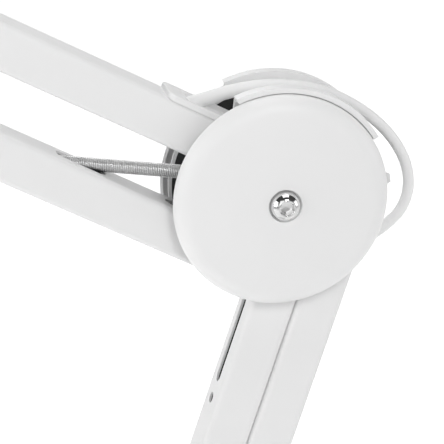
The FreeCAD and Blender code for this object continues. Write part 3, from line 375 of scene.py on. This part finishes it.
def turned_rows(profile, centre, axis, across=128):
    """A ring for each (radius, height) in millimetres. A radius may be a function of the angle."""
    east = X if abs(axis.x) < 0.9 else Y
    north = axis.cross(east)
    rows = []
    for radius, height in profile:
        row = []
        for k in range(across):
            angle = 2 * math.pi * k / across
            r = radius(angle) if callable(radius) else radius
            spoke = east * math.cos(angle) + north * math.sin(angle)
            row.append(centre + (axis * height + spoke * r) * MM)
        rows.append(row)
    return rows


def tube_rows(points, radius, across=24):
    """Rings round a line. radius, in metres, is a number or one for each point."""
    radii = radius if isinstance(radius, list) else [radius] * len(points)
    tangents = []
    for i in range(len(points)):
        tangents.append((points[min(i + 1, len(points) - 1)] - points[max(i - 1, 0)]).normalized())
    side = tangents[0].orthogonal().normalized()
    rows = []
    for point, way, r in zip(points, tangents, radii):
        side = (side - way * side.dot(way)).normalized()
        other = way.cross(side)
        angles = [2 * math.pi * k / across for k in range(across)]
        rows.append([point + (side * math.cos(a) + other * math.sin(a)) * r for a in angles])
    return rows


# ---------------------------------------------------------------- covers and their screws

SEAT = 7.7  # the floor of a cover's recess above its rim, in millimetres
# Half sections of a cover: (radius, height above the rim) in millimetres.
COVER_OUTSIDE = [
    (7.15, SEAT), (7.25, 7.8), (7.6, 9.3), (7.8, 9.57),
    *arc((8.05, 9.6), (42.0, 6.6), 300.0, 1, 16),
    *arc((42.0, 6.6), (50.0, 0.25), 9.9, 1, 16),
    (50.0, 0.25), (49.93, 0.07), (49.75, 0.0), (48.6, 0.0),
]
COVER_INSIDE = [
    (48.4, 0.2), *arc((48.4, 0.2), (41.6, 5.0), 8.3, -1, 10)[1:], (41.6, 5.0), (9.6, 7.8),
    (9.6, -3.85), (6.6, -3.85), (6.6, 6.1), (4.4, 6.1), (4.4, SEAT), (7.0, SEAT),
]
SEAT_POINTS = 4  # the last points of the inside are the seat, which is painted as the outside is


def add_cover(shape, centre, side):
    profile = COVER_OUTSIDE + COVER_INSIDE
    rows = turned_rows(profile, centre + Y * side * COVER_RIM, Y * side, 160)
    inside = range(len(COVER_OUTSIDE), len(profile) - SEAT_POINTS)
    shape.skin(rows, loop=True, slot=lambda row: int(row in inside))


SOCKET_CORNER, HEAD_RISE, SHANK_END = 3.4, 5.8, -21.2  # the button screws, in millimetres
SOCKET_FLOOR = HEAD_RISE - 3.4


def hexagon(size):
    """The radius, at an angle, of a hexagon with that corner radius and blunted corners."""
    def radius(angle):
        turn = (angle + math.pi / 6) % (math.pi / 3) - math.pi / 6
        return min(size * math.cos(math.pi / 6) / math.cos(turn), size * 0.985)
    return radius


SCREW = [
    (0.05, SOCKET_FLOOR - 0.25), (hexagon(SOCKET_CORNER * 0.8), SOCKET_FLOOR - 0.05),
    (hexagon(SOCKET_CORNER), SOCKET_FLOOR), (hexagon(SOCKET_CORNER), HEAD_RISE - 0.35),
    (hexagon(SOCKET_CORNER * 1.03), HEAD_RISE - 0.2), (3.6, HEAD_RISE), (3.8, HEAD_RISE),
    *arc((3.9, HEAD_RISE - 0.02), (6.95, 0.75), 5.4, 1, 14),
    (6.95, 0.75), (7.0, 0.55), (7.0, 0.1), (6.9, 0.0), (3.95, 0.0),
    (3.95, SHANK_END + 0.2), (0.05, SHANK_END),
]


def add_screw(shape, centre, side):
    rows = turned_rows(SCREW, centre + Y * side * (COVER_RIM + SEAT * MM), Y * side, 96)
    shape.skin(rows, caps=(True, True))


def make_covers():
    for node, centre, sides, body in (
        ("elbow_cover_front", ELBOW, (-1,), "elbow"), ("elbow_cover_back", ELBOW, (1,), "elbow"),
        ("shoulder_covers", SHOULDER, (-1, 1), "turret"), ("head_covers", HEAD, (-1, 1), "head_bracket"),
    ):
        shape = Shape()
        for side in sides:
            add_cover(shape, centre, side)
        piece = shape.piece(node.replace("cover", "dome"), "cover_white", "cover_inside")
        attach(piece, body)
        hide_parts(node)
    for node, centre, body in (
        ("elbow_cover_screws", ELBOW, "elbow"), ("shoulder_cover_screws", SHOULDER, "turret"),
        ("head_cover_screws", HEAD, "head_bracket"),
    ):
        shape = Shape()
        for side in (-1, 1):
            add_screw(shape, centre, side)
        piece = shape.piece(node.replace("cover_screws", "button_screws"), "screw_chrome", crease=30.0)
        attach(piece, body)
        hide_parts(node)


# ---------------------------------------------------------------- lead and its sleeve

LEAD_ROUTE = [  # in metres from the elbow's centre: x, z
    (-0.0696, 0.0458), (-0.0582, 0.0405), (-0.0474, 0.0403), (-0.0342, 0.0442), (-0.0205, 0.0478),
    (-0.0048, 0.0499), (0.0112, 0.0489), (0.0253, 0.0450), (0.0385, 0.0377), (0.0498, 0.0287),
    (0.0583, 0.0185), (0.0638, 0.0070), (0.0649, -0.0044), (0.0617, -0.0141), (0.0550, -0.0208),
    (0.0462, -0.0268), (0.0365, -0.0337), (0.0277, -0.0435), (0.0221, -0.0558),
]
LEAD_RADIUS = 2.65 * MM
OVER_GUIDE = {"start": near_elbow(-44, 41), "end": near_elbow(-6, 50)}  # the stretch of lead over the guide
INTO_ARM = {"start": near_elbow(58, -18), "end": near_elbow(30, -40)}  # and the stretch where it goes into the lower arm


def spline_points(route):
    """The points of a smooth line through the lamp's middle plane."""
    curve = bpy.data.curves.new("route", "CURVE")
    curve.dimensions = "3D"
    curve.resolution_u = 14
    spline = curve.splines.new("NURBS")
    spline.points.add(len(route) - 1)
    for point, (x, z) in zip(spline.points, route):
        point.co = (*(ELBOW + Vector((x, 0, z))), 1)
    spline.order_u = 3
    spline.use_endpoint_u = True
    holder = bpy.data.objects.new("route", curve)
    line = bpy.data.meshes.new_from_object(holder)
    points = [v.co.copy() for v in line.vertices]
    bpy.data.objects.remove(holder)
    bpy.data.meshes.remove(line)
    bpy.data.curves.remove(curve)
    return points


def nearest(points, place):
    return min(range(len(points)), key=lambda i: (points[i] - place).length)


def make_lead():
    """One lead in two pieces that meet in the guide."""
    points = spline_points(LEAD_ROUTE)
    top = nearest(points, near_elbow(12, 49))
    for name, run, bodies, bend in (
        ("lead_over_guide", points[:top + 1], ("upper_top", "elbow"), OVER_GUIDE),
        ("lead_loop", points[top:], ("elbow", "lower_right"), INTO_ARM),
    ):
        shape = Shape().skin(tube_rows(run, LEAD_RADIUS, 28), caps=(True, True))
        piece = shape.piece(name, "lead_pvc", crease=60.0)
        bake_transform(piece)
    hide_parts("elbow_lead")

    run = points[nearest(points, near_elbow(-46, 40)):nearest(points, near_elbow(6, 50)) + 1]
    taper = [(3.75 - (i / (len(run) - 1)) ** 0.8) * MM for i in range(len(run))]
    rows = tube_rows(run, taper, 32)
    rows.append([run[-1] + (p - run[-1]) * 0.965 for p in rows[-1]])  # a blunt lip at its thin end
    sleeve = Shape().skin(rows, caps=(True, True)).piece("lead_taper", "lead_pvc", crease=60.0)
    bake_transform(sleeve)
    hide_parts("lead_sleeve")


# ---------------------------------------------------------------- springs

COIL, WIRE, PITCH = 2.83 * MM, 0.42 * MM, 0.85 * MM  # two radii and the step between turns
LINK_LENGTH = 72.8 * MM  # from the lower spring's pin to the link's far end


def hook(pin, way, side, turn, lead):
    """A wire's end: round the pin, straight along the spring's side, then into the first coil."""
    other = way.cross(side) * turn
    wound, bend = math.radians(250), 3.0 * MM
    points = []
    for i in range(19):
        angle = wound * (1 - i / 18)
        points.append(pin + (side * math.cos(angle) - way * math.sin(angle)) * COIL)
    for i in range(1, 6):
        points.append(pin + side * COIL + way * (lead - bend) * i / 6)
    for i in range(10):
        share = i / 10
        angle = math.pi / 2 * share**2
        along = lead - bend * (1 - share) ** 2
        points.append(pin + way * along + (side * math.cos(angle) + other * math.sin(angle)) * COIL)
    return points


def upward(way):
    """The direction square to a spring and to Y that points up."""
    side = way.cross(Y)
    return side if side.z > 0 else -side


def spring_line(start, stop, east, lead_in, lead_out, steps):
    """The wire's line: a hook at each end, lead_in and lead_out long, and the coils between."""
    way = (stop - start).normalized()
    end_side = upward(way)
    north = way.cross(east)
    first = hook(start, way, east, 1, lead_in)
    last = hook(stop, -way, end_side, 1, lead_out)
    phase = math.atan2(end_side.dot(north), end_side.dot(east)) - math.pi / 2
    length = (stop - start).length - lead_in - lead_out
    turns = round(length / PITCH)
    total = 2 * math.pi * turns + phase - math.pi / 2
    count = int(total / (2 * math.pi) * steps)
    coils = []
    for i in range(count + 1):
        angle = math.pi / 2 + total * i / count
        along = lead_in + length * i / count
        coils.append(start + way * along + (east * math.cos(angle) + north * math.sin(angle)) * COIL)
    return first + coils + last[::-1]


def make_springs():
    upper_pin, lower_pin = joint_place("upper_spring_turn"), joint_place("lower_spring_turn")
    upper_anchor, lower_anchor = middle("upper_spring_anchor"), middle("lower_spring_anchor")
    pull = (lower_anchor - lower_pin).normalized()
    ring = lower_pin + pull * (LINK_LENGTH + COIL)
    side = upward((upper_anchor - upper_pin).normalized())
    for name, body, line in (
        ("upper_coil_spring", "upper_spring",
         spring_line(upper_pin, upper_anchor, side, 13.5 * MM, 9.0 * MM, 16)),
        ("lower_coil_spring", "lower_spring",
         spring_line(ring, lower_anchor, Y, 6.5 * MM, 9.0 * MM, 12)),
    ):
        shape = Shape().skin(tube_rows(line, WIRE, 8), caps=(True, True))
        piece = shape.piece(name, "spring_steel", crease=80.0)
        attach(piece, body)
        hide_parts(body)


# ---------------------------------------------------------------- moulded trough on the top tube

# Millimetres: along the tube from its elbow pivot, or up from its top face.
TROUGH_NEAR, TROUGH_FAR, TROUGH_RISE, TROUGH_FLOOR = -3.0, 36.0, 2.4, 0.25
HOOD_START, HOOD_FULL = 19.0, 30.0
TROUGH_CORNER, TROUGH_WALL, WALL_SLOPE, EDGE_ROUND = 4.0, 1.9, 0.5, 0.7


def smooth_step(value):
    """0 below 0, 1 above 1, and an easy curve between."""
    value = min(max(value, 0.0), 1.0)
    return value * value * (3 - 2 * value)


def trough_height(along, inset):
    """The top of the trough: walls with rounded edges, closed by a hood at the far end."""
    hood = smooth_step((along - HOOD_START) / (HOOD_FULL - HOOD_START))
    wall = smooth_step((TROUGH_WALL - inset) / WALL_SLOPE)
    height = TROUGH_FLOOR + (TROUGH_RISE - TROUGH_FLOOR) * max(hood, wall)
    from_full = EDGE_ROUND - min(inset, EDGE_ROUND)
    return height - EDGE_ROUND + math.sqrt(EDGE_ROUND**2 - from_full**2)


def tube_drop(across):
    """How far the tube's top face has rounded down at that distance from its middle."""
    return min(max(abs(across) - (TUBE_SIDE / 2 / MM - 2.0), 0.0) * 0.3, 0.6)


def make_trough():
    pivot = joint_place("upper_arm_lift")
    half = TUBE_SIDE / 2 / MM
    turn_from = TROUGH_FAR - TROUGH_CORNER

    def place(along, across, up):
        return pivot - UPPER * along * MM + Y * across * MM + UPPER_FACE * (TUBE_SIDE / 2 + up * MM)

    stations = [TROUGH_NEAR + (turn_from - TROUGH_NEAR) * i / 42 for i in range(42)]
    stations += [turn_from + TROUGH_CORNER * math.sin(math.pi / 2 * i / 12) for i in range(13)]
    rows = []
    for along in stations:
        past = max(along - turn_from, 0.0)
        width = half - TROUGH_CORNER + math.sqrt(max(TROUGH_CORNER**2 - past**2, 0.0))
        upper_row, lower_row = [], []
        for k in range(65):
            across = width * math.sin(math.pi / 2 * (k / 32 - 1))
            inset = min(width - abs(across), TROUGH_FAR - along)
            upper_row.append(place(along, across, trough_height(along, inset)))
            lower_row.append(place(along, across, -tube_drop(across)))
        rows.append(upper_row + lower_row[::-1])
    piece = Shape().skin(rows, caps=(True, True)).piece("moulded_trough", "white_plastic", crease=50.0)
    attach(piece, "upper_top")
    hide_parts("lead_trough")


# ---------------------------------------------------------------- camera and light

CAMERA_TURN = math.radians(-11.43)
CAMERA_RISE = math.radians(19.25)
CAMERA_DISTANCE = 1.16
SENSOR_SIDE = 36.0  # millimetres
VIEW_SIDE = 444 / 2200  # what the picture takes in at the elbow, in metres
DISC_RIGHT = 26.80 * MM  # the elbow cover right of the picture's middle
DISC_ABOVE = 10.14 * MM  # and above it
SOFTBOXES = {  # direction from the elbow, distance and side in metres, watts
    "key_softbox": ((0.16, -0.80, 0.58), 2.0, 0.6, 10.2),
    "fill_softbox": ((-0.35, -0.86, 0.37), 2.2, 1.4, 6.6),
    "left_softbox": ((-0.95, -0.25, 0.2), 1.6, 0.9, 7.2),
    "right_softbox": ((0.95, -0.3, 0.1), 1.8, 0.9, 3.5),
    "overhead_softbox": ((0.1, 0.0, 0.99), 1.5, 1.0, 8.5),
    "back_softbox": ((-0.1, 0.75, 0.66), 1.8, 1.0, 10.5),
}


def look_from(turn, rise):
    """The unit vector from what is looked at to the camera."""
    return Vector((math.sin(turn) * math.cos(rise), -math.cos(turn) * math.cos(rise), math.sin(rise)))


def make_camera():
    back = look_from(CAMERA_TURN, CAMERA_RISE)
    right = Vector((math.cos(CAMERA_TURN), math.sin(CAMERA_TURN), 0))
    up = back.cross(right)
    disc = ELBOW - Y * COVER_RIM
    target = disc - right * DISC_RIGHT - up * DISC_ABOVE
    data = bpy.data.cameras.new("camera")
    data.sensor_width = SENSOR_SIDE
    data.lens = SENSOR_SIDE * CAMERA_DISTANCE / VIEW_SIDE
    data.clip_start = 0.05
    data.clip_end = 50.0
    camera = bpy.data.objects.new("camera", data)
    camera.location = target + back * CAMERA_DISTANCE
    aim(camera, -back)
    bpy.context.scene.camera = camera


def aim(thing, way):
    """Turns a camera or a light to look that way."""
    thing.rotation_mode = "QUATERNION"
    thing.rotation_quaternion = way.to_track_quat("-Z", "Y")
    bpy.context.scene.collection.objects.link(thing)


def area_light(name, direction, distance, side, watts):
    """A square softbox that looks at the elbow from that direction."""
    data = bpy.data.lights.new(name, "AREA")
    data.shape = "SQUARE"
    data.size = side
    data.energy = watts
    light = bpy.data.objects.new(name, data)
    light.location = ELBOW + Vector(direction).normalized() * distance
    aim(light, -Vector(direction))


def make_world():
    """Studio light, bright at the horizon and dim overhead."""
    world = bpy.data.worlds.new("studio")
    world.use_nodes = True
    nodes, links = world.node_tree.nodes, world.node_tree.links
    where = nodes.new("ShaderNodeTexCoord")
    split = nodes.new("ShaderNodeSeparateXYZ")
    ramp = nodes.new("ShaderNodeMapRange")
    links.new(where.outputs["Generated"], split.inputs["Vector"])
    links.new(split.outputs["Z"], ramp.inputs["Value"])
    ramp.inputs["From Min"].default_value = 0.0
    ramp.inputs["From Max"].default_value = 0.45
    ramp.inputs["To Min"].default_value = 0.75
    ramp.inputs["To Max"].default_value = 0.06
    background = nodes["Background"]
    background.inputs["Color"].default_value = (1, 1, 1, 1)
    links.new(ramp.outputs["Result"], background.inputs["Strength"])
    bpy.context.scene.world = world


def make_floor():
    """White paper that glows behind the lamp and fades in front of it, so it photographs white."""
    bpy.ops.mesh.primitive_plane_add(size=14.0, location=(0, 0, 0))
    floor = bpy.context.object
    floor.name = "floor"
    paper = finish("floor_white", grey(0.95), grey(0.94), (0.85, 0.95), 60.0, 1e-5, patch=0.5)
    shader = paper.node_tree.nodes["Principled BSDF"]
    split = add_node(paper, "ShaderNodeSeparateXYZ")
    paper.node_tree.links.new(position(paper, (0, 0, 0)), split.inputs["Vector"])
    glow = add_node(paper, "ShaderNodeMapRange", Value=split.outputs["Y"])
    glow.inputs["From Min"].default_value = -0.2
    glow.inputs["From Max"].default_value = 0.7
    glow.inputs["To Min"].default_value = 0.2
    glow.inputs["To Max"].default_value = 0.85
    shader.inputs["Emission Color"].default_value = (1, 1, 1, 1)
    paper.node_tree.links.new(glow.outputs["Result"], shader.inputs["Emission Strength"])
    floor.data.materials.append(paper)


def make_studio():
    bpy.context.scene.view_settings.view_transform = "Standard"
    make_world()
    make_floor()
    for name, settings in SOFTBOXES.items():
        area_light(name, *settings)


paint_cad_nodes()
make_camera()
make_covers()
make_lead()
make_springs()
make_trough()
make_studio()
